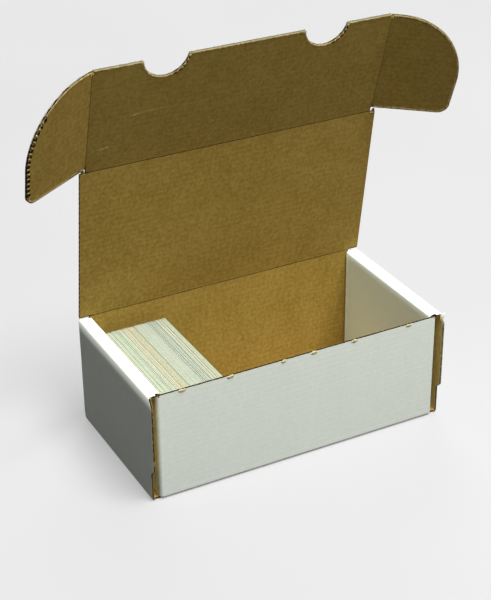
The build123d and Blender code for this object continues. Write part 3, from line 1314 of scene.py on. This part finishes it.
@dataclass
class CardRow:
    """A row of trading cards that stand on their long edges, packed together."""

    start: float = -90.3
    end: float = -47.1
    front: float = -48.55
    width: float = 88.5
    foot: float = 1.72
    height: float = 63.35
    corner: float = 3.0
    corner_steps: int = 3
    count: int = 118
    fill: float = 0.93
    shift_range: tuple[float, float] = (-0.15, 0.35)
    drop_spread: float = 0.22
    drop_limit: float = 1.0
    wear_range: tuple[float, float] = (0.92, 1.02)
    tint_range: tuple[float, float] = (0.98, 1.02)
    seed: int = 7
    bands: tuple[tuple[float, Colour], ...] = (
        (0.12, srgb(194, 194, 164)),
        (0.29, srgb(182, 190, 168)),
        (0.305, srgb(222, 224, 204)),
        (0.32, srgb(134, 144, 120)),
        (0.50, srgb(196, 188, 158)),
        (0.52, srgb(130, 120, 92)),
        (0.66, srgb(184, 190, 174)),
        (0.83, srgb(182, 188, 174)),
        (0.845, srgb(96, 130, 114)),
        (0.97, srgb(190, 186, 164)),
        (1.0, srgb(172, 190, 166)),
    )

    def card(self, x: float, thick: float, shift: float, drop: float) -> list[Vector]:
        """Corners of one card, its left face and then its right face.

        Args:
            x: Left face.
            thick: Thickness.
            shift: Distance from the front edge's usual place.
            drop: Height lost at the top.

        Returns:
            Corners in metres.
        """
        low, far, high = self.corner, self.width - self.corner, self.height - self.corner
        outline = []
        for centre, first in (((far, low), -90), ((far, high), 0), ((low, high), 90), ((low, low), 180)):
            outline += arc(centre, self.corner, first, first + 90, self.corner_steps)
        front, foot = self.front + shift, self.foot - drop
        outline = [(front + along, max(foot + up, self.foot)) for along, up in outline]
        return [Vector((place, y, z)) * MM for place in (x, x + thick) for y, z in outline]

    def build(self) -> bpy.types.Object:
        """Make the cards as one piece and give each its tint.

        Returns:
            The row of cards.
        """
        draw = random.Random(self.seed)
        pitch = (self.end - self.start) / self.count
        points, faces, tints = [], [], []
        for number in range(self.count):
            shift = draw.uniform(*self.shift_range)
            drop = min(abs(draw.gauss(0, self.drop_spread)), self.drop_limit)
            corners = self.card(self.start + number * pitch, pitch * self.fill, shift, drop)
            base, size = len(points), len(corners) // 2
            points += corners
            faces.append([base + i for i in range(size)][::-1])
            faces.append([base + size + i for i in range(size)])
            for i in range(size):
                j = (i + 1) % size
                faces.append([base + i, base + j, base + size + j, base + size + i])
            tint = next(colour for end, colour in self.bands if (number + 0.5) / self.count <= end)
            wear = draw.uniform(*self.wear_range)
            tint = tuple(channel * wear * draw.uniform(*self.tint_range) for channel in tint)
            tints += [tint] * (size + 2)
        piece = add_mesh("cards", points, faces, False)
        layer = piece.data.color_attributes.new("tint", "FLOAT_COLOR", "CORNER")
        for polygon, tint in zip(piece.data.polygons, tints):
            for corner in polygon.loop_indices:
                layer.data[corner].color = (*tint, 1.0)
        piece.data.materials.append(CardFinish().material())
        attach(piece, "card_row")
        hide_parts("card_row")
        report(piece, "card_row")
        return piece


@dataclass
class Creases:
    """The four creases that move: the lid's, the flap's and one for each ear."""

    lid_room: float = 0.3
    flap_room: float = 0.4
    ear_room: float = 0.2
    ear_groove: float = 0.16
    ear_shade: float = 0.2
    ear_steps: int = 24

    def lid(self) -> Crease:
        """Crease between the rear wall and the lid."""
        lid, half = SIZES.lid(), SIZES.wall_half_length - self.lid_room
        return Crease(
            name="lid_crease",
            near_body="tray",
            far_body="lid",
            near=-ACROSS_Z,
            near_face=-ACROSS_Y,
            far=lid.up,
            far_face=lid.face,
            start=lid.at(-half, 0),
            end=lid.at(half, 0),
        )

    def flap(self) -> Crease:
        """Crease between the lid and the front flap."""
        lid, flap, half = SIZES.lid(), SIZES.flap(), SIZES.flap_half_width - self.flap_room
        return Crease(
            name="flap_crease",
            near_body="lid",
            far_body="flap",
            near=-lid.up,
            near_face=lid.face,
            far=flap.up,
            far_face=flap.face,
            start=flap.at(-half, 0),
            end=flap.at(half, 0),
        )

    def ear(self, side: Side) -> Crease:
        """Crease between the flap and the ear on one side."""
        flap, ear = SIZES.flap(), SIZES.ear(side)
        return Crease(
            name=f"{side.label}_ear_crease",
            near_body="flap",
            far_body=f"{side.label}_ear",
            near=flap.along * -side.value,
            near_face=flap.face,
            far=ear.along,
            far_face=ear.face,
            start=ear.at(0, SIZES.ear_start + self.ear_room),
            end=ear.at(0, SIZES.ear_end - self.ear_room),
            groove=self.ear_groove,
            shade=self.ear_shade,
            steps=self.ear_steps,
        )

    def build(self) -> None:
        """Make both papers across each crease."""
        for crease in (self.lid(), self.flap(), *(self.ear(side) for side in Side)):
            for face in Face:
                crease.build(face)


# ---- Studio ----


@dataclass
class Studio:
    """Floor, light and camera."""

    camera_place: Vector = field(default_factory=lambda: Vector((-0.3932, -0.7295, 0.5435)))
    camera_turn: Sequence[float] = (60.960, 0.535, -27.983)
    lens: float = 93.84
    light_way: Vector = field(default_factory=lambda: Vector((0.3, -0.68, 1.95)).normalized())
    light_distance: float = 2.0
    light_size: float = 1.1
    light_power: float = 95.0
    rear_place: Vector = field(default_factory=lambda: Vector((0.8, 1.8, 1.0)))
    rear_power: float = 27.0
    light_aim: Vector = field(default_factory=lambda: Vector((0, 0, 0.1)))
    sky: float = 0.08
    floor_half: float = 6.0
    floor_z: float = -0.0002
    backdrop_radius: float = 9.0
    backdrop_rows: int = 12
    backdrop_columns: int = 48
    backdrop_glow: float = 0.9
    sensor_width: float = 36.0

    def build(self) -> None:
        """Set the floor, the backdrop, the world, the overhead light, a rear light and the camera."""
        bpy.context.scene.view_settings.view_transform = "Standard"
        self.add_floor()
        self.add_backdrop()
        self.add_world()
        place = self.light_aim + self.light_way * self.light_distance
        self.add_light("key", place, self.light_power, self.light_size)
        self.add_light("rear", self.rear_place, self.rear_power, self.light_size)
        self.add_camera()

    def add_floor(self) -> None:
        """Lay the floor under the box."""
        signs = ((-1, -1), (1, -1), (1, 1), (-1, 1))
        corners = [Vector((x * self.floor_half, y * self.floor_half, self.floor_z)) for x, y in signs]
        floor = add_mesh("floor", corners, [[0, 1, 2, 3]], False)
        floor.data.materials.append(FloorFinish().material())
        floor.visible_diffuse = False

    def add_backdrop(self) -> None:
        """Put a pale dome behind everything, which shows and gives no light."""
        rows, columns = self.backdrop_rows, self.backdrop_columns
        points = []
        for row in range(rows + 1):
            lift = math.pi * (row / rows - 0.5)
            reach, height = math.cos(lift), math.sin(lift)
            for column in range(columns):
                turn = 2 * math.pi * column / columns
                way = Vector((math.cos(turn) * reach, math.sin(turn) * reach, height))
                points.append(way * self.backdrop_radius)
        faces = [
            [
                row * columns + column,
                row * columns + (column + 1) % columns,
                (row + 1) * columns + (column + 1) % columns,
                (row + 1) * columns + column,
            ]
            for row in range(rows)
            for column in range(columns)
        ]
        dome = add_mesh("backdrop", points, faces, True)
        graph = Graph("backdrop", 1.0, 0.0)
        graph.feed(graph.shader.inputs["Emission Strength"], self.backdrop_glow)
        cloud = graph.noise(0.2, 1)
        pale = graph.mix(cloud, srgb(246, 246, 246), srgb(250, 250, 250))
        graph.feed(graph.shader.inputs["Emission Color"], pale)
        dark = graph.mix(cloud, (0, 0, 0), (0.01, 0.01, 0.01))
        dome.data.materials.append(graph.finish(dark, cloud, 0.1 * MM))
        for ray in ("diffuse", "glossy", "transmission", "shadow", "volume_scatter"):
            setattr(dome, f"visible_{ray}", False)

    def add_world(self) -> None:
        """Surround the scene with even pale light."""
        world = bpy.data.worlds.new("studio")
        world.use_nodes = True
        background = world.node_tree.nodes["Background"]
        background.inputs["Color"].default_value = (1.0, 1.0, 1.0, 1.0)
        background.inputs["Strength"].default_value = self.sky
        bpy.context.scene.world = world

    def add_light(self, name: str, place: Vector, power: float, size: float) -> None:
        """Hang a square soft light that looks at the box.

        Args:
            name: Name of the light.
            place: Place of the light in metres.
            power: Power in watts.
            size: Side of the square in metres.
        """
        data = bpy.data.lights.new(name, "AREA")
        data.size = size
        data.energy = power
        lamp = bpy.data.objects.new(name, data)
        lamp.location = place
        lamp.rotation_euler = (place - self.light_aim).to_track_quat("Z", "Y").to_euler()
        lamp.visible_camera = False
        bpy.context.scene.collection.objects.link(lamp)

    def add_camera(self) -> None:
        """Place the camera."""
        data = bpy.data.cameras.new("camera")
        data.sensor_width = self.sensor_width
        data.lens = self.lens
        camera = bpy.data.objects.new("camera", data)
        camera.location = self.camera_place
        camera.rotation_euler = Euler([math.radians(angle) for angle in self.camera_turn])
        bpy.context.scene.collection.objects.link(camera)
        bpy.context.scene.camera = camera


def main() -> None:
    """Build the studio and every sub-assembly in order."""
    logging.basicConfig(level=logging.INFO, format="%(name)s: %(message)s")
    Studio().build()
    Board().dress_all()
    Creases().build()
    FrontFlap().build()
    for side in Side:
        Ear(side).build()
    TornBits().build()
    CardRow().build()


if __name__ == "__main__":
    main()
